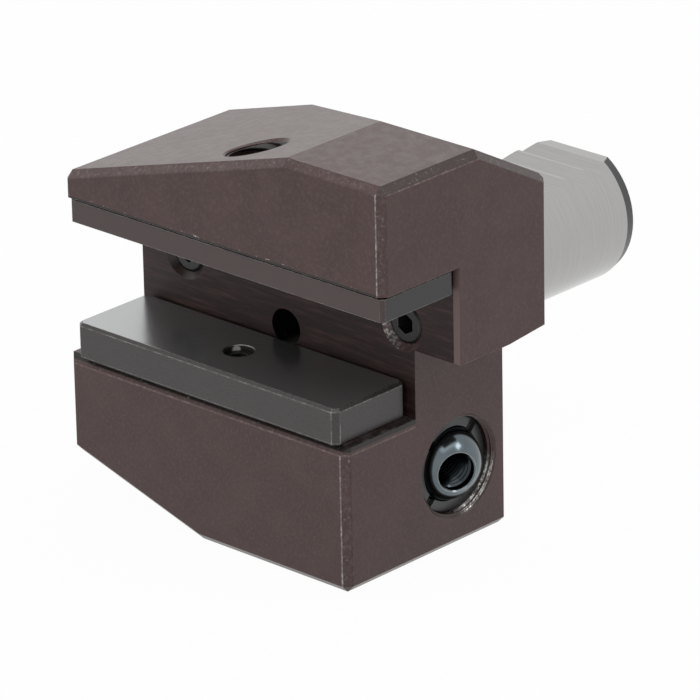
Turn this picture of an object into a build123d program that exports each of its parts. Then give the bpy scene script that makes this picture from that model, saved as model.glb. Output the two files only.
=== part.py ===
from build123d import *
import math
import os

os.makedirs("parts", exist_ok=True)

# Radial holder for a square turning tool, on a toothed cylindrical shank for a lathe turret.
# Millimetres. X runs along the tool slot, Y along the shank and away from the tool, Z is up.
# The origin is on the shank's axis, in the plane of the flange face that seats on the turret.

# Shank
shank_diameter = 20.0
shank_length = 40.0
shank_lead_length = 1.7
shank_lead_drop = 0.45
tooth_height = 8.1          # crest of the teeth above the shank's axis
tooth_depth = 1.5
tooth_pitch = 4.15
tooth_count = 5
tooth_crest_width = 0.4
axial_bore_diameter = 5.0

# Head and block, measured from the shank's axis
head_left = 25.8
head_right = 30.2
head_depth = 31.7           # from the flange face to the front of the jaw
flange_thickness = 17.6     # from the flange face to the rear wall of the slot
jaw_top = 30.3
jaw_ridge = 13.5            # where the flat top turns into the slope
jaw_left_top = 19.2
jaw_bottom = 15.9
back_bevel_length = 13.6
back_bevel_drop = 7.45
flange_bottom = 2.7
flange_lift = 0.8
flange_lift_length = 8.4
block_left = 27.0
block_right = 22.4
block_top = -6.7
block_bottom = -26.8
block_setback = 1.0         # the block's front lies this far behind the jaw's front
block_kink = -4.1           # where the bottom turns into its slope
block_left_bottom = -20.1
edge_chamfer = 1.0
back_chamfer = 1.6          # on the upper edges of the flange face

# Clamp bar, its screw and its guide pins
bar_thickness = 3.05
bar_rest_gap = 0.3          # below the jaw when the slot is fully open
bar_end_inset = 0.8
bar_right_inset = 0.35
bar_front_inset = 0.3
bar_wall_gap = 0.6
bar_corner = 0.5
clamp_screw_x = 2.0
clamp_line = 7.5            # from the jaw's front to the line of screw and pins
clamp_screw_diameter = 8.0
clamp_screw_length = 9.3
clamp_socket_width = 4.0
clamp_socket_depth = 4.0
clamp_screw_chamfer = 0.5
clamp_hole_flare = 0.4
button_diameter = 5.0
button_height = 1.1
neck_diameter = 3.8
neck_height = 0.9
snap_ring_width = 1.0
snap_ring_thickness = 0.5
snap_ring_opening = 40.0    # degrees
pin_diameter = 3.0
pin_spacing = 34.0
pin_reach = 3.9             # above the bar's top
pin_seat = 2.3              # into the bar
pin_hole_depth = 5.2
pin_chamfer = 0.3

# Seat plate and its screw
plate_thickness = 5.1
plate_left_inset = 0.8
plate_right_inset = 1.15
plate_front_offset = 0.4    # stands out in front of the block
plate_wall_gap = 0.3
plate_edge_chamfer = 0.8
plate_foot_chamfer = 0.4
plate_screw_diameter = 2.5
plate_screw_grip = 7.0
plate_head_diameter = 4.0
plate_head_height = 2.4
plate_head_recess = 0.7
plate_socket_width = 2.0
plate_socket_depth = 1.3
plate_head_chamfer = 0.2

# Threaded plugs in the rear wall of the slot
plug_left_inset = 7.8        # from the head's left side
plug_right_inset = 9.9
plug_height = 5.6
plug_diameter = 5.2
plug_length = 8.0
plug_recess = 0.6
plug_mouth_flare = 0.85
plug_socket_width = 2.5
plug_socket_depth = 3.0
plug_chamfer = 0.3

# Coolant nozzle in the block's right face
nozzle_y = -9.5
nozzle_z = -15.9
nozzle_bore_diameter = 13.6
nozzle_bore_depth = 8.1
nozzle_mouth_flare = 0.3
feed_diameter = 6.0
feed_length = 17.5
inlet_diameter = 5.0
ball_diameter = 10.2
ball_sink = 2.9             # from the block's face to the ball's centre
ball_aim = 22.0             # degrees, towards the cutting edge
ball_thread_diameter = 5.0
ball_thread_flare = 0.35
ball_back_flat = 4.2
ring_recess = 1.5
ring_back = 1.6             # behind the ball's centre
ring_notch_width = 1.4
ring_notch_depth = 0.8
ring_notch_count = 4
seal_thickness = 3.0
seal_bore_diameter = 4.4

# Seal ring in the flange face
seal_groove_offset = 0.6      # from the shank to the groove
seal_groove_width = 2.6
seal_groove_depth = 2.0
seal_cord_diameter = 1.9

# Clearances
screw_clearance = 0.05
pin_clearance = 0.05
ball_clearance = 0.15
seal_clearance = 0.10
button_clearance = 0.25
neck_clearance = 0.3
seal_ring_gap = 0.3           # between the seal and the ring
axial_clearance = 0.10

# Places that follow from the sizes above
shank_radius = shank_diameter / 2
rear_wall = -flange_thickness
jaw_front = -head_depth
block_front = jaw_front + block_setback
bar_top = jaw_bottom - bar_rest_gap
bar_bottom = bar_top - bar_thickness
bar_back = rear_wall - bar_wall_gap
clamp_y = jaw_front + clamp_line
plate_top = block_top + plate_thickness
plate_left = -head_left + plate_left_inset
plate_right = block_right - plate_right_inset
plate_front = block_front - plate_front_offset
plate_back = rear_wall - plate_wall_gap
plate_screw_x = (plate_left + plate_right) / 2
plate_screw_y = (plate_front + plate_back) / 2
plug_left_x = -head_left + plug_left_inset
plug_right_x = head_right - plug_right_inset
jaw_slope = (jaw_top - jaw_left_top) / (head_left + jaw_ridge)
ball_radius = ball_diameter / 2
ball_x = block_right - ball_sink
teeth_start = shank_length - shank_lead_length - (tooth_count - 0.5) * tooth_pitch


def box_between(low, high):
    """A box from its low corner to its high corner."""
    size = [high[i] - low[i] for i in range(3)]
    middle = [(high[i] + low[i]) / 2 for i in range(3)]
    return Pos(*middle) * Box(*size)


def rod(start, direction, length, radius, end_radius=None):
    """A cylinder, or a cone to end_radius, from start along direction."""
    plane = Plane(origin=start, z_dir=direction)
    centre = Pos(0, 0, length / 2)
    if end_radius is None:
        return plane * centre * Cylinder(radius, length)
    return plane * centre * Cone(radius, end_radius, length)


def hex_socket(start, direction, width, depth):
    """A hexagonal key socket cut from start along direction."""
    across_corners = width / math.sqrt(3)
    plane = Plane(origin=start, z_dir=direction)
    return extrude(plane * RegularPolygon(across_corners, 6), depth)


def jaw_surface(x):
    """Height of the jaw's top at x."""
    return jaw_left_top + jaw_slope * (x + head_left) if x < jaw_ridge else jaw_top


def near(value, target):
    return abs(value - target) < 1e-4


def holder_blank():
    """The milled head, flange and block, without bores."""
    outline = Polyline(
        (-block_left, block_left_bottom),
        (-block_left, block_top),
        (-head_left, block_top),
        (-head_left, jaw_left_top),
        (jaw_ridge, jaw_top),
        (head_right, jaw_top),
        (head_right, flange_bottom),
        (block_right, flange_bottom),
        (block_right, block_bottom),
        (block_kink, block_bottom),
        close=True,
    )
    blank = extrude(Plane.XZ * make_face(outline), head_depth)
    past = head_depth
    left, right = -block_left - past, head_right + past
    blank -= box_between((left, jaw_front - past, block_top), (right, rear_wall, jaw_bottom))
    blank -= box_between((left, jaw_front - past, block_bottom - past), (right, block_front, block_top))
    # The bevel that falls from the top to the flange face
    rise = back_bevel_drop / back_bevel_length
    bevel = Polyline(
        (-back_bevel_length, jaw_top),
        (past, jaw_top - rise * (back_bevel_length + past)),
        (past, jaw_top + past),
        (-back_bevel_length, jaw_top + past),
        close=True,
    )
    blank -= Pos(left, 0, 0) * extrude(Plane.YZ * make_face(bevel), right - left)
    # The underside of the wide part lifts towards the flange face
    lift = Polyline(
        (-flange_lift_length, flange_bottom),
        (0, flange_bottom + flange_lift),
        (0, flange_bottom - edge_chamfer),
        (-flange_lift_length, flange_bottom - edge_chamfer),
        close=True,
    )
    blank -= Pos(block_right, 0, 0) * extrude(Plane.YZ * make_face(lift), past)
    return blank


def chamfered_holder(blank):
    """Breaks the outer edges, and leaves the slot's inner edges and the two kinks sharp."""
    def outer(edge):
        c = edge.center()
        on_back = near(c.Y, 0) and c.Z < flange_bottom - 1e-3 and not near(c.Z, block_top)
        on_jaw_front = near(c.Y, jaw_front) and c.Z > jaw_bottom + 1e-3
        on_block_front = near(c.Y, block_front)
        along_y = abs(edge.tangent_at(0.5).Y) > 0.8
        right_top = along_y and near(c.X, head_right) and c.Z > jaw_bottom + 1e-3
        left_top = along_y and near(c.X, -head_left) and c.Z > jaw_bottom + 1e-3
        block_corner = along_y and c.Z < block_top - 1e-3 and not near(c.X, block_kink)
        return on_back or on_jaw_front or on_block_front or right_top or left_top or block_corner
    upper = [edge for edge in blank.edges() if near(edge.center().Y, 0) and edge.center().Z > flange_bottom]
    blank = chamfer(upper, back_chamfer)
    edges = [edge for edge in blank.edges() if outer(edge)]
    return chamfer(edges, edge_chamfer)


def shank():
    """The cylindrical shank, lead chamfer and all, with its rack of clamping teeth."""
    lead = shank_length - shank_lead_length
    half = Polyline(
        (0, -flange_thickness / 2),
        (shank_radius, -flange_thickness / 2),
        (shank_radius, lead),
        (shank_radius - shank_lead_drop, shank_length),
        (0, shank_length),
        close=True,
    )
    body = revolve(Plane.XY * make_face(half), Axis.Y)
    crest = tooth_crest_width / 2
    valley = tooth_height - tooth_depth
    above = shank_radius + tooth_depth
    points = [(teeth_start, above), (teeth_start, valley)]
    for index in range(tooth_count):
        middle = teeth_start + (index + 0.5) * tooth_pitch
        points.append((middle - crest, tooth_height))
        if index == tooth_count - 1:
            break
        points.append((middle + crest, tooth_height))
        points.append((middle + tooth_pitch / 2, valley))
    points.append((shank_length + shank_lead_length, tooth_height))
    points.append((shank_length + shank_lead_length, above))
    rack = extrude(Plane.YZ * make_face(Polyline(*points, close=True)), shank_radius, both=True)
    return body - rack


def clamp_screw_hole():
    radius = clamp_screw_diameter / 2 + screw_clearance
    top = jaw_surface(clamp_screw_x + radius) + edge_chamfer
    hole = rod((clamp_screw_x, clamp_y, block_top), (0, 0, 1), top - block_top, radius)
    # The flare follows the slope of the jaw's top,
    slope = math.degrees(math.atan(jaw_slope))
    mouth = Pos(clamp_screw_x, clamp_y, jaw_surface(clamp_screw_x)) * Rot(0, -slope, 0)
    # and starts inside the hole, so that it meets the wall cleanly
    reach = 2 * clamp_hole_flare
    flare = Cone(radius + clamp_hole_flare - reach, radius + clamp_hole_flare + reach, 2 * reach)
    return hole + mouth * flare


def pin_holes():
    radius = pin_diameter / 2 + pin_clearance
    holes = Part()
    for side in (-1, 1):
        x = clamp_screw_x + side * pin_spacing / 2
        holes += rod((x, clamp_y, jaw_bottom), (0, 0, 1), pin_hole_depth, radius)
    return holes


def plug_hole(x):
    """A tapped hole through the flange, flared at the slot."""
    radius = plug_diameter / 2 + screw_clearance
    hole = rod((x, rear_wall, plug_height), (0, 1, 0), flange_thickness, radius)
    flare = rod((x, rear_wall, plug_height), (0, 1, 0), plug_mouth_flare, radius + plug_mouth_flare, radius)
    return hole + flare


def nozzle_cavity():
    """The nozzle's bore, its flare, the feed behind it and the inlet from the flange face."""
    face = (block_right, nozzle_y, nozzle_z)
    radius = nozzle_bore_diameter / 2
    cavity = rod(face, (-1, 0, 0), nozzle_bore_depth, radius)
    cavity += rod(face, (-1, 0, 0), nozzle_mouth_flare, radius + nozzle_mouth_flare, radius)
    cavity += rod(face, (-1, 0, 0), nozzle_bore_depth + feed_length, feed_diameter / 2)
    cavity += rod((0, 0, nozzle_z), (0, -1, 0), -nozzle_y, inlet_diameter / 2)
    return cavity


def seal_groove():
    inner = shank_radius + seal_groove_offset
    outer = rod((0, 0, 0), (0, -1, 0), seal_groove_depth, inner + seal_groove_width)
    return outer - rod((0, 0, 0), (0, -1, 0), seal_groove_depth, inner)


def holder_body():
    body = chamfered_holder(holder_blank()) + shank()
    body -= seal_groove()
    body -= rod((0, rear_wall, 0), (0, 1, 0), flange_thickness + shank_length, axial_bore_diameter / 2)
    body -= clamp_screw_hole()
    body -= pin_holes()
    body -= plug_hole(plug_left_x)
    body -= plug_hole(plug_right_x)
    body -= nozzle_cavity()
    plate_thread = plate_screw_diameter / 2 + screw_clearance
    depth = plate_screw_grip + plate_screw_diameter
    body -= rod((plate_screw_x, plate_screw_y, block_top), (0, 0, -1), depth, plate_thread)
    return body


def clamp_bar():
    bar = box_between(
        (-head_left + bar_end_inset, jaw_front + bar_front_inset, bar_bottom),
        (head_right - bar_right_inset, bar_back, bar_top),
    )
    bar = chamfer(bar.edges().filter_by(Axis.Z), bar_corner)
    well = button_height + neck_height + axial_clearance
    button_radius = button_diameter / 2 + button_clearance
    centre = (clamp_screw_x, clamp_y, bar_top)
    bar -= rod(centre, (0, 0, -1), well, button_radius)
    # The groove that holds the snap ring
    groove_top = bar_top - (neck_height - snap_ring_thickness) / 2
    groove = (clamp_screw_x, clamp_y, groove_top)
    bar -= rod(groove, (0, 0, -1), snap_ring_thickness, snap_ring_radius())
    for side in (-1, 1):
        x = clamp_screw_x + side * pin_spacing / 2
        bar -= rod((x, clamp_y, bar_top), (0, 0, -1), pin_seat, pin_diameter / 2)
    return bar


def snap_ring_radius():
    return neck_diameter / 2 + neck_clearance + snap_ring_width


def bar_snap_ring():
    """The open wire ring in the bar's well that holds the screw's button."""
    top = bar_top - (neck_height - snap_ring_thickness) / 2
    start = (clamp_screw_x, clamp_y, top)
    outer = snap_ring_radius()
    ring = rod(start, (0, 0, -1), snap_ring_thickness, outer)
    ring -= rod(start, (0, 0, -1), snap_ring_thickness, outer - snap_ring_width)
    reach = 2 * outer
    half = math.radians(snap_ring_opening / 2)
    wedge = Polyline(
        (0, 0),
        (reach * math.cos(half), reach * math.sin(half)),
        (reach * math.cos(half), -reach * math.sin(half)),
        close=True,
    )
    gap = extrude(Pos(clamp_screw_x, clamp_y, top) * make_face(wedge), snap_ring_thickness, both=True)
    return ring - gap


def clamp_screw():
    """A set screw with a button tip, which pushes the bar down and lifts it again."""
    shoulder = bar_top + axial_clearance / 2
    button_bottom = bar_top - button_height - neck_height + axial_clearance / 2
    radius = clamp_screw_diameter / 2
    screw = rod((clamp_screw_x, clamp_y, shoulder), (0, 0, 1), clamp_screw_length, radius)
    ends = screw.edges().filter_by(GeomType.CIRCLE)
    screw = chamfer(ends, clamp_screw_chamfer)
    screw += rod((clamp_screw_x, clamp_y, button_bottom), (0, 0, 1), button_height - axial_clearance,
                 button_diameter / 2)
    screw += rod((clamp_screw_x, clamp_y, button_bottom), (0, 0, 1), shoulder - button_bottom,
                 neck_diameter / 2)
    top = (clamp_screw_x, clamp_y, shoulder + clamp_screw_length)
    return screw - hex_socket(top, (0, 0, -1), clamp_socket_width, clamp_socket_depth)


def bar_guide_pin(side):
    x = clamp_screw_x + side * pin_spacing / 2
    pin = rod((x, clamp_y, bar_top - pin_seat), (0, 0, 1), pin_seat + pin_reach, pin_diameter / 2)
    return chamfer(pin.edges().filter_by(GeomType.CIRCLE), pin_chamfer)


def seat_plate():
    plate = box_between((plate_left, plate_front, block_top), (plate_right, plate_back, plate_top))
    plate = chamfer(plate.edges().filter_by(Axis.Z), plate_edge_chamfer)
    plate = chamfer(plate.faces().sort_by(Axis.Z)[-1].edges(), plate_edge_chamfer / 2)
    plate = chamfer(plate.faces().sort_by(Axis.Z)[0].edges(), plate_foot_chamfer)
    centre = (plate_screw_x, plate_screw_y, plate_top)
    head_radius = plate_head_diameter / 2 + screw_clearance
    plate -= rod(centre, (0, 0, -1), plate_head_height + plate_head_recess, head_radius)
    plate -= rod(centre, (0, 0, -1), plate_thickness, plate_screw_diameter / 2 + screw_clearance)
    return plate


def seat_plate_screw():
    head_top = plate_top - plate_head_recess
    head_bottom = head_top - plate_head_height
    head = rod((plate_screw_x, plate_screw_y, head_bottom), (0, 0, 1), plate_head_height,
               plate_head_diameter / 2)
    head = chamfer(head.edges().sort_by(Axis.Z)[-1], plate_head_chamfer)
    stem_length = head_bottom - block_top + plate_screw_grip
    stem = rod((plate_screw_x, plate_screw_y, head_bottom), (0, 0, -1), stem_length,
               plate_screw_diameter / 2)
    socket = hex_socket((plate_screw_x, plate_screw_y, head_top), (0, 0, -1),
                        plate_socket_width, plate_socket_depth)
    return head + stem - socket


def slot_plug(x):
    """A set screw that closes a tapped hole in the slot's rear wall."""
    front = rear_wall + plug_recess
    plug = rod((x, front, plug_height), (0, 1, 0), plug_length, plug_diameter / 2)
    plug = chamfer(plug.edges().filter_by(GeomType.CIRCLE), plug_chamfer)
    return plug - hex_socket((x, front, plug_height), (0, 1, 0), plug_socket_width, plug_socket_depth)


def ball_sphere(gap=0.0):
    return Pos(ball_x, nozzle_y, nozzle_z) * Sphere(ball_radius + gap)


def nozzle_ring():
    """The threaded ring that keeps the ball in, with notches for a face spanner."""
    front = ball_sink - ring_recess
    radius = nozzle_bore_diameter / 2 - screw_clearance
    seat = ball_radius + ball_clearance
    mouth = math.sqrt(seat ** 2 - front ** 2)
    middle = seat * math.sin(math.radians(45) + math.asin(mouth / seat) / 2)
    along = math.sqrt(seat ** 2 - middle ** 2)
    bevel = ring_notch_depth / 2
    profile = Polyline((front, mouth), (front, radius - bevel), (front - bevel, radius),
                       (-ring_back, radius), (-ring_back, seat), (0, seat))
    profile += ThreePointArc((0, seat), (along, middle), (front, mouth))
    ring = revolve(Plane.XY * make_face(profile), Axis.X)
    for index in range(ring_notch_count):
        turn = 360 * (index + 0.5) / ring_notch_count
        notch = Pos(front, radius, 0) * Box(2 * ring_notch_depth, radius, ring_notch_width)
        ring -= Rot(turn, 0, 0) * notch
    return Pos(ball_x, nozzle_y, nozzle_z) * ring


def nozzle_ball():
    """The aimed ball with its tapped bore."""
    aim = math.radians(ball_aim)
    direction = Vector(math.cos(aim), -math.sin(aim), 0)
    centre = Vector(ball_x, nozzle_y, nozzle_z)
    bore_radius = ball_thread_diameter / 2
    ball = ball_sphere()
    ball -= rod(centre - direction * ball_back_flat, -direction, ball_radius, ball_radius)
    ball -= rod(centre - direction * ball_radius, direction, ball_diameter, bore_radius)
    mouth = math.sqrt(ball_radius ** 2 - bore_radius ** 2)
    flare_start = centre + direction * (mouth - ball_thread_flare)
    flare_length = 3 * ball_thread_flare
    ball -= rod(flare_start, direction, flare_length, bore_radius, bore_radius + flare_length)
    return ball


def nozzle_seal():
    """The seat behind the ball, which turns with it and seals it."""
    front = ball_x - ring_back - seal_ring_gap
    radius = nozzle_bore_diameter / 2 - seal_clearance
    seal = rod((front, nozzle_y, nozzle_z), (-1, 0, 0), seal_thickness, radius)
    seal -= ball_sphere(ball_clearance)
    return seal - rod((front, nozzle_y, nozzle_z), (-1, 0, 0), seal_thickness, seal_bore_diameter / 2)


def flange_seal():
    """The round-section ring in the flange face."""
    middle = shank_radius + seal_groove_offset + seal_groove_width / 2
    centre_y = seal_cord_diameter / 2 - seal_groove_depth
    return Pos(0, centre_y, 0) * Rot(90, 0, 0) * Torus(middle, seal_cord_diameter / 2)


nodes = {
    "holder_body": holder_body(),
    "clamp_bar": clamp_bar(),
    "clamp_screw": clamp_screw(),
    "bar_snap_ring": bar_snap_ring(),
    "bar_guide_pin_left": bar_guide_pin(-1),
    "bar_guide_pin_right": bar_guide_pin(1),
    "seat_plate": seat_plate(),
    "seat_plate_screw": seat_plate_screw(),
    "slot_plug_left": slot_plug(plug_left_x),
    "slot_plug_right": slot_plug(plug_right_x),
    "nozzle_ring": nozzle_ring(),
    "nozzle_ball": nozzle_ball(),
    "nozzle_seal": nozzle_seal(),
    "flange_seal": flange_seal(),
}

for name, shape in nodes.items():
    export_step(shape, f"parts/{name}.step")
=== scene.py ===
import math

import bmesh
import bpy
from mathutils import Matrix, Vector


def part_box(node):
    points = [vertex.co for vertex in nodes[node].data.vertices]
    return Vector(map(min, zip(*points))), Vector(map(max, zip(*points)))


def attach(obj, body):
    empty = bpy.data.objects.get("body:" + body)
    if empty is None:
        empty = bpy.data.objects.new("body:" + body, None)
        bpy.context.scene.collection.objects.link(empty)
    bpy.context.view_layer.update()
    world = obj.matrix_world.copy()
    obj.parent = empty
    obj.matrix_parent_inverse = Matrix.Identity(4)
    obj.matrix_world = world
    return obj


# Radial tool holder: a blackened steel head with a ground shank, a clamp bar, a seat plate and a
# ball nozzle. Metres, in the frame of the CAD. Lengths written in mm are turned into metres by MM.
MM = 0.001

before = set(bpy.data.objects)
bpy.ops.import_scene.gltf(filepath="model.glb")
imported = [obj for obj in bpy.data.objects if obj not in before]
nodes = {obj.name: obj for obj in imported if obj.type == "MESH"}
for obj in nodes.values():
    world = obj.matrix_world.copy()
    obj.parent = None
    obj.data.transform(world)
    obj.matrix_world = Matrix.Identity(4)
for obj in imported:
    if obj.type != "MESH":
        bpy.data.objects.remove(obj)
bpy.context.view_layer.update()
scene = bpy.context.scene
scene.view_settings.view_transform = "Standard"


# Places on the part, in mm

def corner(node, side):
    """Lowest (0) or highest (1) corner of a CAD node, in mm."""
    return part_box(node)[side] / MM


SCREW_TOP = corner("clamp_screw", 1).z
RING_FACE = corner("nozzle_ring", 1).x
FLOOR_HEIGHT = corner("holder_body", 0).z
SHANK_LENGTH = corner("holder_body", 1).y
GROUND_END = SHANK_LENGTH - 1.68  # the shank's lead is left dark
FLANGE_FACE = 0.0
REAR_WALL = -17.6                 # the slot's back, along Y
SLOT_MIDDLE = 4.6                 # the slot's middle height
SLOT_REACH = 11.9                 # half the height in which the wall's edges stay unworn
BLOCK_RIGHT = 22.4
JAW_SLOPE = (30.3 - 19.2) / (25.8 + 13.5)
JAW_LEFT = (-25.8, 19.2)          # X and Z where the jaw's slope starts
JAW_BOTTOM = 15.9
RIGHT_RIM = 29.1                  # a painted highlight on the rear wall's right border stands for a chamfer
JAW_FRONT = -31.7
FRONT_BORDER = 29.2               # where the jaw's front face meets its right chamfer
END_LINE = 29.25                  # where the jaw's right end meets its upper chamfer
BEVEL_START = -13.6
BLOCK_TOP = -6.7
BLOCK_FRONT = -30.7
BLOCK_BORDER = 21.4
BLOCK_LIP = -7.78
BALL_AIM = math.radians(22.0)
BALL_CENTRE = Vector((19.5, -9.5, -15.9))
CLAMP_AXIS = Vector((2.0, -24.2, 0.0))
LEFT_PLUG = -18.0
RIGHT_PLUG = 20.3
PLUG_MIDDLE = (LEFT_PLUG + RIGHT_PLUG) / 2
PLUG_SPREAD = (RIGHT_PLUG - LEFT_PLUG) / 2
PLUG_HEIGHT = 5.6
PLUG_HOLE_REACH = 3.4
FLARE_REACH = 3.7                 # the flared mouth of a plug's hole
FLARE_DEPTH = 0.86
AXIAL_BORE_REACH = 2.56
NOZZLE_BORE_REACH = 6.75
BALL_HOLE_REACH = 2.52
PLATE_GLINT = (-3.40, -23.35, -2.25)  # a painted highlight on the wall of the seat plate's screw hole
PLATE_GLINT_RADIUS = 0.70


# Camera

def place_camera():
    """At the photograph's angle, far off with a long lens."""
    right = Vector((0.732415, 0.680600, -0.018762))
    up = Vector((-0.245923, 0.290140, 0.924846))
    back = Vector((0.634894, -0.672757, 0.379878))
    data = bpy.data.cameras.new("photo_camera")
    data.sensor_fit = "HORIZONTAL"
    data.sensor_width = 36.0
    data.lens = 307.231
    data.clip_start = 0.05
    data.clip_end = 20.0
    data.dof.use_dof = False
    camera = bpy.data.objects.new("photo_camera", data)
    scene.collection.objects.link(camera)
    turn = Matrix((right, up, back)).transposed().to_4x4()
    camera.matrix_world = Matrix.Translation(Vector((494.71, -529.933, 289.103)) * MM) @ turn
    scene.camera = camera


# Shader maths

class Signal:
    """A number's socket. Python's operators on it add Math nodes."""

    def __init__(self, finish, socket):
        self.finish = finish
        self.socket = socket

    def maths(self, operation, *values, clamp=False):
        return self.finish.node("ShaderNodeMath", {"operation": operation, "use_clamp": clamp},
                                dict(enumerate(values)))

    def __add__(self, other):
        return self.maths("ADD", self, other)

    def __sub__(self, other):
        return self.maths("SUBTRACT", self, other)

    def __rsub__(self, other):
        return self.maths("SUBTRACT", other, self)

    def __mul__(self, other):
        return self.maths("MULTIPLY", self, other)

    def __pow__(self, other):
        return self.maths("POWER", self, other)

    def __gt__(self, other):
        return self.maths("GREATER_THAN", self, other)

    def __lt__(self, other):
        return self.maths("LESS_THAN", self, other)

    def __abs__(self):
        return self.maths("ABSOLUTE", self)

    __radd__ = __add__
    __rmul__ = __mul__

    def larger(self, other):
        return self.maths("MAXIMUM", self, other)

    def clamped(self):
        return self.maths("ADD", self, 0.0, clamp=True)

    def step(self, low, high):
        """0 below low and 1 above high, smooth between them."""
        return self.finish.node("ShaderNodeMapRange", {"interpolation_type": "SMOOTHSTEP"},
                                {"Value": self, "From Min": low, "From Max": high})


class Finish:
    """A node material under construction."""

    def __init__(self, name, tree=None):
        if tree is None:
            self.material = bpy.data.materials.new(name)
            self.material.use_nodes = True
            tree = self.material.node_tree
        self.tree = tree
        self.tree.nodes.clear()

    def node(self, kind, settings=None, inputs=None, output=0):
        """Adds a node, sets its settings first and its sockets next, and returns one output."""
        made = self.tree.nodes.new(kind)
        for key, value in (settings or {}).items():
            if key == "stops":
                self.set_stops(made.color_ramp, value)
            else:
                setattr(made, key, value)
        for key, value in (inputs or {}).items():
            socket = made.inputs[key] if isinstance(key, int) else self.find(made.inputs, key)
            self.feed(socket, value)
        by_place = isinstance(output, int)
        source = made.outputs[output] if by_place else self.find(made.outputs, output)
        return Signal(self, source)

    @staticmethod
    def find(sockets, key):
        for socket in sockets:
            if socket.identifier == key:
                return socket
        return sockets[key]

    @staticmethod
    def set_stops(ramp, stops):
        while len(ramp.elements) > 1:
            ramp.elements.remove(ramp.elements[-1])
        for index, (place, colour) in enumerate(stops):
            element = ramp.elements[0] if index == 0 else ramp.elements.new(place)
            element.position = place
            element.color = (*colour, 1.0)

    def feed(self, socket, value):
        if isinstance(value, Signal):
            self.tree.links.new(value.socket, socket)
        elif hasattr(socket.default_value, "__len__") and hasattr(value, "__len__"):
            full = list(value) + [1.0] * (len(socket.default_value) - len(value))
            socket.default_value = full
        else:
            socket.default_value = value

    def mix(self, factor, first, second):
        """A colour between first and second."""
        return self.node("ShaderNodeMix", {"data_type": "RGBA", "clamp_factor": True},
                         {"Factor_Float": factor, "A_Color": first, "B_Color": second},
                         "Result_Color")

    def place(self, stretch=(1.0, 1.0, 1.0)):
        """Object coordinates in mm, stretched."""
        coordinates = self.node("ShaderNodeTexCoord", output="Object")
        scale = [amount / MM for amount in stretch]
        return self.node("ShaderNodeMapping", {"vector_type": "POINT"},
                         {"Vector": coordinates, "Scale": scale})

    def noise(self, scale, detail=3.0, roughness=0.55, stretch=(1.0, 1.0, 1.0)):
        return self.node("ShaderNodeTexNoise", {"noise_dimensions": "3D"},
                         {"Vector": self.place(stretch), "Scale": scale, "Detail": detail,
                          "Roughness": roughness}, "Fac")

    def axes(self):
        """X, Y and Z in mm."""
        split = self.tree.nodes.new("ShaderNodeSeparateXYZ")
        self.tree.links.new(self.place().socket, split.inputs[0])
        return [Signal(self, output) for output in split.outputs]

    def facing(self):
        """The surface's own direction, as X, Y and Z."""
        geometry = self.tree.nodes.new("ShaderNodeNewGeometry")
        split = self.tree.nodes.new("ShaderNodeSeparateXYZ")
        self.tree.links.new(geometry.outputs["True Normal"], split.inputs[0])
        return [Signal(self, output) for output in split.outputs]

    def rounded(self, radius):
        """The surface's direction with its edges rounded to a radius in mm."""
        return self.node("ShaderNodeBevel", {"samples": 6}, {"Radius": radius * MM})

    def softened(self, radius, share):
        """The rounded direction where share is 1, and the plain one where it is 0."""
        geometry = self.tree.nodes.new("ShaderNodeNewGeometry")
        plain = Signal(self, geometry.outputs["Normal"])
        soft = self.rounded(radius)
        return self.node("ShaderNodeMix", {"data_type": "VECTOR", "factor_mode": "UNIFORM"},
                         {"Factor_Float": share, "A_Vector": plain, "B_Vector": soft},
                         "Result_Vector")

    def edges(self, radius):
        """1 on an edge and 0 a radius in mm away from it."""
        geometry = self.tree.nodes.new("ShaderNodeNewGeometry")
        sharp = Signal(self, geometry.outputs["Normal"])
        agree = self.node("ShaderNodeVectorMath", {"operation": "DOT_PRODUCT"},
                          {0: self.rounded(radius), 1: sharp}, "Value")
        return ((1.0 - agree) * 6.0).clamped()

    def bump(self, height, depth, normal=None):
        """Relief of a depth in mm."""
        inputs = {"Strength": 1.0, "Distance": depth * MM, "Height": height}
        if normal is not None:
            inputs["Normal"] = normal
        return self.node("ShaderNodeBump", None, inputs)

    def surface(self, settings):
        """The Principled shader and the output."""
        shader = self.node("ShaderNodeBsdfPrincipled", None, settings)
        self.node_output(shader)
        return self.material

    def background_share(self):
        """1 for rays that see the white background: from the camera, off gloss, through glass."""
        rays = self.tree.nodes.new("ShaderNodeLightPath")
        camera, glossy, through = [Signal(self, rays.outputs[f"Is {kind} Ray"])
                                   for kind in ("Camera", "Glossy", "Transmission")]
        return (camera + glossy + through).clamped()

    def node_output(self, shader, kind="ShaderNodeOutputMaterial"):
        """Joins a shader to an output node of its own."""
        end = self.tree.nodes.new(kind)
        self.tree.links.new(shader.socket, end.inputs["Surface"])


# Finishes

STEEL = (0.56, 0.55, 0.53)
# a pale colour for painted highlights along edges
EDGE_HIGHLIGHT = (0.210, 0.145, 0.135)


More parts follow.
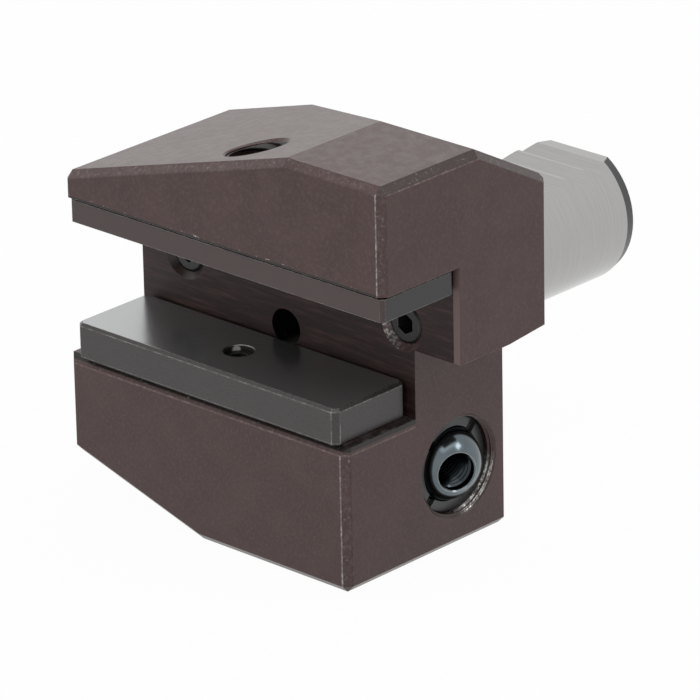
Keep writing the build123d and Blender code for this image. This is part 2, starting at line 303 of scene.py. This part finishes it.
def blackened_and_ground():
    """Brown-black oxide on the milled head, worn bright on its edges.

    The shank and the flange face are bare ground steel.
    """
    f = Finish("blackened_and_ground_steel")
    x, y, z = f.axes()
    nx, ny, nz = f.facing()
    cloud = f.noise(0.16, 3.0)
    grain = f.noise(2.6, 3.0, 0.6)
    speck = f.noise(7.0, 2.0, 0.6)
    # the faces that look up are mottled lighter
    mottle = f.noise(0.7, 5.0, 0.7).step(0.40, 0.66) * nz.step(0.70, 0.90)
    # milling marks run along the slot's rear wall, which painted shade darkens
    on_wall = (abs(y - REAR_WALL) < 0.05) * (abs(ny) > 0.9)
    streak = f.noise(1.0, 5.0, 0.70, (0.14, 1.0, 1.7))
    # painted shade fills the plug holes and the left plug's flared mouth; the right plug's mouth
    # gets a painted highlight, the glint, at its lower left
    to_plug = ((abs(x - PLUG_MIDDLE) - PLUG_SPREAD) ** 2.0 + (z - PLUG_HEIGHT) ** 2.0) ** 0.5
    in_plug_hole = (to_plug < PLUG_HOLE_REACH) * (y > REAR_WALL + 0.80) * (y < FLANGE_FACE - 1.0)
    on_flare = (to_plug < FLARE_REACH) * (y > REAR_WALL + 0.01) * (y < REAR_WALL + FLARE_DEPTH)
    lower_left = (RIGHT_PLUG - x) - (z - PLUG_HEIGHT)
    glint = on_flare * (x > 0.0) * lower_left.step(3.0, 4.3)
    # painted shade darkens the axial bore, with a dull painted glow of light at its lower right
    from_axis = (x ** 2.0 + z ** 2.0) ** 0.5
    in_axial_bore = (from_axis < AXIAL_BORE_REACH) * (y > REAR_WALL + 0.02) * (y < FLANGE_FACE)
    glow = (x - z).step(0.6, 3.0)
    # grinding marks run round the shank
    ground = y > FLANGE_FACE - 0.12
    lead = (y > GROUND_END) * ground * (nz < 0.99)
    lines = f.noise(1.0, 4.0, 0.7, (0.12, 9.0, 0.12))
    broad = f.noise(1.0, 2.0, 0.5, (0.15, 0.5, 0.15))
    # worn edges: thin lines broken into specks, with here and there a longer bare stretch
    edge = f.edges(0.22)
    breaks = f.noise(1.6, 4.0, 0.75).step(0.47, 0.60)
    stretches = f.noise(0.11, 2.0, 0.5).step(0.40, 0.62)
    inside = (abs(y - REAR_WALL) < 0.6) * (abs(z - SLOT_MIDDLE) < SLOT_REACH)
    specks = f.noise(2.0, 3.0, 0.7).step(0.60, 0.68)
    # a narrow chamfer is scuffed along its middle
    slant = abs(nx).larger(abs(ny)).larger(abs(nz))
    chamfer = (slant < 0.80) * (1.0 - ground)
    middle = chamfer * (1.0 - f.edges(0.5).step(0.02, 0.12))
    worn = edge.step(0.20, 0.70) * (0.05 + 0.25 * breaks + 0.50 * specks)
    worn = worn * (0.30 + 0.70 * stretches)
    worn = worn + middle * specks * 0.25
    # painted shade darkens the jaw's lower front edge against the bar, with bright specks above the
    # shade
    above_bar = (z - JAW_BOTTOM) * (ny < -0.9)
    shade_line = (above_bar > 0.001) * (above_bar < 0.28)
    worn = worn + (above_bar > 0.28) * (above_bar < 0.48) * specks * 0.7
    worn = worn.clamped() * (1.0 - inside) * (1.0 - ground)
    # a painted highlight brightens the lower rear of the nozzle's bore, in patches
    aside, below = y - BALL_CENTRE.y, z - BALL_CENTRE.z
    from_bore = (aside ** 2.0 + below ** 2.0) ** 0.5
    in_bore = (abs(from_bore - NOZZLE_BORE_REACH) < 0.35) * (x > BLOCK_RIGHT - 3.0)
    in_bore = in_bore * (x < BLOCK_RIGHT - 0.2)
    patches = f.noise(2.2, 3.0, 0.7).step(0.42, 0.60)
    bore_highlight = in_bore * (aside - below).step(6.5, 9.0) * (0.2 + 0.8 * patches)
    # the painted highlights in the nozzle's bore and on the right plug's mouth join the wear as
    # bare steel
    worn = worn.larger(bore_highlight * 0.85).larger(glint * (0.05 + 0.65 * breaks))
    # the borders of both front faces along their right chamfers are bright lines: partly
    # worn-through steel, partly a painted highlight of the rounded edge
    border = (abs(x - FRONT_BORDER) < 0.08) * (y < JAW_FRONT + 0.2) * (z > JAW_BOTTOM)
    block_corner = (abs(x - BLOCK_BORDER) < 0.09) * (y < BLOCK_FRONT + 0.2) * (z < BLOCK_LIP)
    border = border.larger(block_corner)
    worn = worn.larger(border * (0.22 + 0.38 * breaks))
    oxide = f.mix(cloud.step(0.3, 0.7), (0.056, 0.026, 0.024), (0.069, 0.034, 0.032))
    oxide = f.mix(grain.step(0.42, 0.78) * 0.5, oxide, (0.118, 0.076, 0.070))
    oxide = f.mix(middle * (0.06 + 0.14 * breaks), oxide, (0.235, 0.200, 0.192))
    # painted shade darkens the chamfers that face up and to the right
    oxide = f.mix(chamfer * (nx > 0.4) * (nz > 0.4) * 0.6, oxide, (0.022, 0.013, 0.012))
    # painted shade blackens the block's upper front edge below the plate, with a painted highlight
    # along the lip under the shade
    right_side = (x > BLOCK_BORDER - 0.1) * (y < REAR_WALL)
    block_edge = (z < BLOCK_TOP + 0.05) * (z > BLOCK_TOP - 0.62)
    block_edge = block_edge * (y < BLOCK_FRONT + 1.02).larger(right_side)
    shade_line = shade_line.larger(block_edge)
    oxide = f.mix(shade_line * 0.9, oxide, (0.008, 0.006, 0.006))
    lip = (abs(z - BLOCK_LIP) < 0.13) * (y < BLOCK_FRONT + 0.4).larger(right_side)
    # a painted highlight also runs along the jaw's right end under its upper chamfer
    end_line = (abs(z - END_LINE) < 0.10) * (x > FRONT_BORDER + 0.85) * (y < BEVEL_START)
    lip = lip.larger(end_line)
    oxide = f.mix(lip * (0.25 + 0.50 * breaks), oxide, EDGE_HIGHLIGHT)
    # painted shade keeps the rear wall darker than the rest of the head, with milling streaks in it
    wall = f.mix(streak.step(0.42, 0.74), (0.017, 0.006, 0.006), (0.064, 0.034, 0.031))
    # the rear wall's right border gets a painted highlight, standing for a chamfer
    wall = f.mix((x > RIGHT_RIM) * 0.85, wall, EDGE_HIGHLIGHT)
    oxide = f.mix(on_wall, oxide, wall)
    oxide = f.mix(mottle * 0.50, oxide, (0.200, 0.182, 0.174))
    # painted shade: the plug holes are near black inside, and the left plug's flared mouth is
    # darkened
    oxide = f.mix(in_plug_hole, oxide, (0.010, 0.008, 0.008))
    oxide = f.mix(on_flare * (x < 0.0) * 0.7, oxide, (0.018, 0.012, 0.011))
    # painted shade in the axial bore, with the painted glow at its lower right
    oxide = f.mix(in_axial_bore, oxide, f.mix(glow, (0.006, 0.005, 0.005), (0.100, 0.098, 0.080)))
    steel = f.mix(lines.step(0.3, 0.7), (0.375, 0.372, 0.367), (0.415, 0.412, 0.405))
    steel = f.mix(lead, steel, (0.070, 0.071, 0.072))
    colour = f.mix(ground, f.mix(worn, oxide, STEEL), steel)
    rough_oxide = 0.24 + 0.10 * grain + 0.06 * cloud + 0.14 * mottle
    rough_oxide = rough_oxide + on_wall * (0.14 + 0.20 * streak)
    rough_steel = 0.13 + 0.06 * lines + 0.03 * broad + 0.2 * lead
    rough = rough_oxide * (1.0 - ground) + rough_steel * ground
    height = (grain * 0.5 + speck * 0.5) * (1.0 - ground) * (1.0 - on_wall)
    height = height + on_wall * streak * 2.2 + lines * ground * 0.10
    return f.surface({
        "Base Color": colour,
        "Metallic": (worn * 0.9 + ground).clamped(),
        "Roughness": rough,
        "Normal": f.bump(height, 0.006, f.softened(0.16, 1.0 - ground)),
        "IOR": 1.42,
    })


def dark_steel(name, low, high, roughness, wear=0.6, relief=0.004, stretch=(1.0, 1.0, 1.0),
               edge_width=0.2, ground_top=None, shaded_right_end=None, glint_spot=None):
    """Blackened steel with a little grain and worn edges.

    ground_top is a colour of its own for the faces that look up, shaded_right_end a painted shade
    for the faces that look right, and glint_spot a painted highlight's centre and radius in mm.
    """
    f = Finish(name)
    cloud = f.noise(0.2, 3.0)
    grain = f.noise(3.0, 3.0, 0.6, stretch)
    breaks = f.noise(1.1, 4.0, 0.7).step(0.38, 0.62)
    worn = f.edges(edge_width).step(0.15, 0.75) * (0.3 + 0.7 * breaks) * wear
    colour = f.mix(cloud * 0.5 + grain * 0.5, low, high)
    bare = worn
    rough = roughness + 0.12 * grain
    # painted shade on the faces that look right
    if shaded_right_end is not None:
        colour = f.mix(f.facing()[0] > 0.95, colour, shaded_right_end)
    if ground_top is not None:
        top = f.facing()[2] > 0.95
        colour = f.mix(top, colour, ground_top)
        bare = (worn + 0.88 * top).clamped()
        rough = rough - 0.04 * top
    # a painted highlight: pale, and not bare metal
    if glint_spot is not None:
        centre, radius = glint_spot
        distance = sum((axis - place) ** 2.0 for axis, place in zip(f.axes(), centre)) ** 0.5
        spot = 1.0 - distance.step(radius * 0.5, radius)
        colour = f.mix(spot, colour, (0.80, 0.80, 0.79))
        bare = bare * (1.0 - spot)
    return f.surface({
        "Base Color": f.mix(worn, colour, STEEL),
        "Metallic": bare,
        "Roughness": rough,
        "Normal": f.bump(grain, relief, f.rounded(edge_width * 0.8)),
        "IOR": 1.5,
    })


def bright_steel(name, low, high, roughness, relief=0.002):
    """Bare steel, turned or ground."""
    f = Finish(name)
    grain = f.noise(4.0, 3.0, 0.6)
    return f.surface({
        "Base Color": f.mix(grain, low, high),
        "Metallic": 1.0,
        "Roughness": roughness + 0.10 * grain,
        "Normal": f.bump(grain, relief, f.rounded(0.08)),
    })


def polished_ball():
    """Blue-black polished steel."""
    f = Finish("polished_ball_steel")
    cloud = f.noise(0.35, 2.0)
    fine = f.noise(6.0, 2.0)
    worn = f.edges(0.18).step(0.2, 0.8)
    # painted shade makes the threaded hole along the aim nearly black inside
    x, y, z = f.axes()
    off_aim = (x - BALL_CENTRE.x) * math.sin(BALL_AIM) + (y - BALL_CENTRE.y) * math.cos(BALL_AIM)
    from_aim = (off_aim ** 2.0 + (z - BALL_CENTRE.z) ** 2.0) ** 0.5
    in_hole = from_aim < BALL_HOLE_REACH
    worn = worn * (1.0 - in_hole)
    tint = f.mix(cloud, (0.085, 0.107, 0.118), (0.140, 0.165, 0.180))
    tint = f.mix(in_hole * 0.75, tint, (0.010, 0.012, 0.014))
    return f.surface({
        "Base Color": f.mix(worn * 0.6, tint, STEEL),
        "Metallic": 1.0,
        "Roughness": 0.13 + 0.08 * fine,
        "Normal": f.bump(fine, 0.0015, f.rounded(0.12)),
        "IOR": 1.7,
    })


def soft_polymer(name, low, high, roughness):
    """Dull rubber or plastic."""
    f = Finish(name)
    cloud = f.noise(0.6, 3.0)
    fine = f.noise(8.0, 2.0)
    return f.surface({
        "Base Color": f.mix(cloud, low, high),
        "Roughness": roughness + 0.15 * fine,
        "Normal": f.bump(fine, 0.003),
        "IOR": 1.45,
    })


def dress_nodes():
    """Gives every CAD node its finish."""
    dark_screw = dark_steel("blackened_screw_steel", (0.008, 0.007, 0.007), (0.020, 0.018, 0.018),
                            0.38, wear=0.25, relief=0.003)
    spring = bright_steel("spring_steel", (0.36, 0.36, 0.37), (0.50, 0.50, 0.51), 0.22)
    finishes = {
        "holder_body": blackened_and_ground(),
        "clamp_bar": dark_steel("blackened_bar_steel", (0.047, 0.028, 0.027),
                                (0.063, 0.039, 0.037), 0.30, wear=0.55, stretch=(0.1, 1.0, 1.0),
                                shaded_right_end=(0.022, 0.020, 0.023)),
        "seat_plate": dark_steel("blackened_plate_steel", (0.034, 0.028, 0.028),
                                 (0.050, 0.043, 0.043), 0.22, wear=0.95, relief=0.0006,
                                 stretch=(0.3, 1.0, 1.0), edge_width=0.34,
                                 ground_top=(0.47, 0.474, 0.478),
                                 glint_spot=(PLATE_GLINT, PLATE_GLINT_RADIUS)),
        "clamp_screw": dark_screw,
        "seat_plate_screw": dark_screw,
        "slot_plug_left": dark_screw,
        "slot_plug_right": dark_screw,
        "bar_snap_ring": spring,
        "bar_guide_pin_left": spring,
        "bar_guide_pin_right": spring,
        "nozzle_ring": dark_steel("blackened_ring_steel", (0.044, 0.046, 0.048),
                                  (0.080, 0.082, 0.084), 0.28, relief=0.003, edge_width=0.12),
        "nozzle_ball": polished_ball(),
        "nozzle_seal": soft_polymer("seal_polymer", (0.70, 0.69, 0.65), (0.80, 0.79, 0.75), 0.45),
        "flange_seal": soft_polymer("seal_rubber", (0.012, 0.012, 0.012), (0.022, 0.022, 0.022),
                                    0.5),
    }
    for node, material in finishes.items():
        slots = nodes[node].data.materials
        slots.clear()
        slots.append(material)
    return finishes


# Cut threads

HOLE_THREAD_SINK = 0.42  # how far below the surface the turns end, in mm
BORE_THREAD_SINK = 0.32


def add_piece(name, shape, body, material):
    """Makes an object of a bmesh whose places are in mm, and lets it ride on a body."""
    bmesh.ops.remove_doubles(shape, verts=shape.verts, dist=1e-4)
    bmesh.ops.recalc_face_normals(shape, faces=shape.faces)
    bmesh.ops.scale(shape, vec=(MM, MM, MM), verts=shape.verts)
    mesh = bpy.data.meshes.new(name)
    shape.to_mesh(mesh)
    shape.free()
    mesh.materials.append(material)
    piece = bpy.data.objects.new(name, mesh)
    scene.collection.objects.link(piece)
    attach(piece, body)


def thread_ridge(bore_radius, pitch, height, start, length, place):
    """A helical ridge inside a bore. Place turns Z into the bore's axis."""
    shape = bmesh.new()
    half = pitch * 0.46
    flat = pitch * 0.06
    profile = [(bore_radius + 0.04, -half), (bore_radius - height, -flat),
               (bore_radius - height, flat), (bore_radius + 0.04, half)]
    verts = [shape.verts.new((radius, 0.0, start + along)) for radius, along in profile]
    face = shape.faces.new(verts)
    turns = length / pitch
    steps = int(turns * 48)
    bmesh.ops.spin(shape, geom=[face, *face.edges, *face.verts], cent=(0, 0, 0), axis=(0, 0, 1),
                   dvec=(0, 0, length / steps), angle=turns * 2 * math.pi, steps=steps,
                   use_merge=False)
    bmesh.ops.transform(shape, matrix=place, verts=shape.verts)
    return shape


def trim(shape, point, outwards):
    """Cuts off what lies outside a plane and closes the cut."""
    geometry = [*shape.verts, *shape.edges, *shape.faces]
    cut = bmesh.ops.bisect_plane(shape, geom=geometry, dist=1e-5, plane_co=point, plane_no=outwards,
                                 clear_outer=True)
    rim = [item for item in cut["geom_cut"] if isinstance(item, bmesh.types.BMEdge)]
    bmesh.ops.holes_fill(shape, edges=rim, sides=0)


def cut_threads(finishes):
    """The thread turns that show in the clamp screw's hole, the nozzle's bore and the ball."""
    slope = Vector((-JAW_SLOPE, 0.0, 1.0)).normalized()
    surface_height = JAW_LEFT[1] + JAW_SLOPE * (CLAMP_AXIS.x - JAW_LEFT[0])
    top = Vector((CLAMP_AXIS.x, CLAMP_AXIS.y, surface_height - HOLE_THREAD_SINK))
    ridge = thread_ridge(bore_radius=4.05, pitch=1.25, height=0.5, start=SCREW_TOP + 0.2,
                         length=4.2, place=Matrix.Translation(CLAMP_AXIS))
    trim(ridge, top, slope)
    add_piece("clamp_hole_thread", ridge, "holder", finishes["slot_plug_left"])

    along_x = Matrix.Rotation(math.pi / 2, 4, "Y")
    into_block = Matrix.Translation(Vector((0, BALL_CENTRE.y, BALL_CENTRE.z))) @ along_x
    ridge = thread_ridge(bore_radius=6.8, pitch=0.75, height=0.28, start=RING_FACE + 0.25,
                         length=2.0, place=into_block)
    trim(ridge, Vector((BLOCK_RIGHT - BORE_THREAD_SINK, 0, 0)), Vector((1, 0, 0)))
    add_piece("nozzle_bore_thread", ridge, "holder", finishes["holder_body"])

    aim = Matrix.Rotation(-BALL_AIM, 4, "Z") @ along_x
    ridge = thread_ridge(bore_radius=2.5, pitch=0.8, height=0.28, start=-3.7,
                         length=7.0, place=Matrix.Translation(BALL_CENTRE) @ aim)
    add_piece("ball_thread", ridge, "nozzle_ball", finishes["nozzle_ball"])


# Floor, world and lamps

FLOOR_WHITE = 0.97  # the rest of what is seen is the lit floor, with the object's shadow


def build_floor():
    """A plain pale floor at the block's underside. It shows white, and keeps a faint shadow."""
    shape = bmesh.new()
    bmesh.ops.create_grid(shape, x_segments=1, y_segments=1, size=3.0)
    bmesh.ops.translate(shape, verts=shape.verts, vec=(0, 0, (FLOOR_HEIGHT - 0.02) * MM))
    mesh = bpy.data.meshes.new("floor")
    shape.to_mesh(mesh)
    shape.free()
    floor = bpy.data.objects.new("floor", mesh)
    scene.collection.objects.link(floor)
    f = Finish("floor_white")
    paper = f.node("ShaderNodeBsdfDiffuse", None, {"Color": (0.68, 0.68, 0.68)})
    white = f.node("ShaderNodeEmission", None, {"Color": (1.0, 1.0, 1.0), "Strength": 1.0})
    seen = f.background_share()
    mixed = f.node("ShaderNodeMixShader", None, {0: seen * FLOOR_WHITE, 1: paper, 2: white})
    f.node_output(mixed)
    mesh.materials.append(f.material)


def build_world():
    """White to the camera, in gloss and through glass.

    Its diffuse light is brightest near the horizon, and dimmer overhead and at the right.
    """
    world = bpy.data.worlds.new("studio")
    world.use_nodes = True
    scene.world = world
    f = Finish("studio", world.node_tree)
    coordinates = f.node("ShaderNodeTexCoord", output="Generated")
    split = f.tree.nodes.new("ShaderNodeSeparateXYZ")
    f.tree.links.new(coordinates.socket, split.inputs[0])
    across, along, height = [Signal(f, output) for output in split.outputs]
    backdrop = 0.88 + 0.47 * (1.0 - height.step(0.05, 0.30)) - 0.34 * height.step(0.42, 0.70)
    # a brighter horizon behind the head's left
    left_rear = (0.0 - across).step(0.30, 0.60) * along.step(0.30, 0.60)
    backdrop = backdrop + left_rear * (1.35 - 1.55 * height.step(0.04, 0.20))
    backdrop = backdrop * (1.0 - 0.90 * across.step(0.35, 0.90))
    # behind the shank a bright panel stands over a dark screen
    side = across.step(0.10, 0.40) * along.step(0.15, 0.45)
    panel = 1.55 * height.step(0.15, 0.21) * (1.0 - height.step(0.47, 0.56))
    screen = 0.10 + panel + 0.42 * height.step(0.50, 0.60)
    glow = backdrop * (1.0 - side) + screen * side
    seen = f.background_share()
    strength = seen + (1.0 - seen) * glow
    background = f.node("ShaderNodeBackground", None,
                        {"Color": (1.0, 1.0, 1.0), "Strength": strength})
    f.node_output(background, "ShaderNodeOutputWorld")


def soft_lamp(name, place, target, width, depth, power):
    """A rectangular lamp that faces its target. Metres and watts."""
    data = bpy.data.lights.new(name, "AREA")
    data.shape = "RECTANGLE"
    data.size = width
    data.size_y = depth
    data.energy = power
    lamp = bpy.data.objects.new(name, data)
    scene.collection.objects.link(lamp)
    place = Vector(place)
    aim = (Vector(target) - place).to_track_quat("-Z", "Y").to_matrix().to_4x4()
    lamp.matrix_world = Matrix.Translation(place) @ aim


def light_the_studio():
    """A broad dim lamp overhead, and a small one that gives the ball its highlight."""
    build_world()
    soft_lamp("overhead", (0.10, -0.05, 1.0), (0.10, -0.05, 0), width=1.3, depth=1.3, power=5.0)
    soft_lamp("highlight", (0.61, 0.34, 0.70), BALL_CENTRE * MM, width=0.30, depth=0.20,
              power=0.95)


place_camera()
build_floor()
light_the_studio()
finishes = dress_nodes()
cut_threads(finishes)
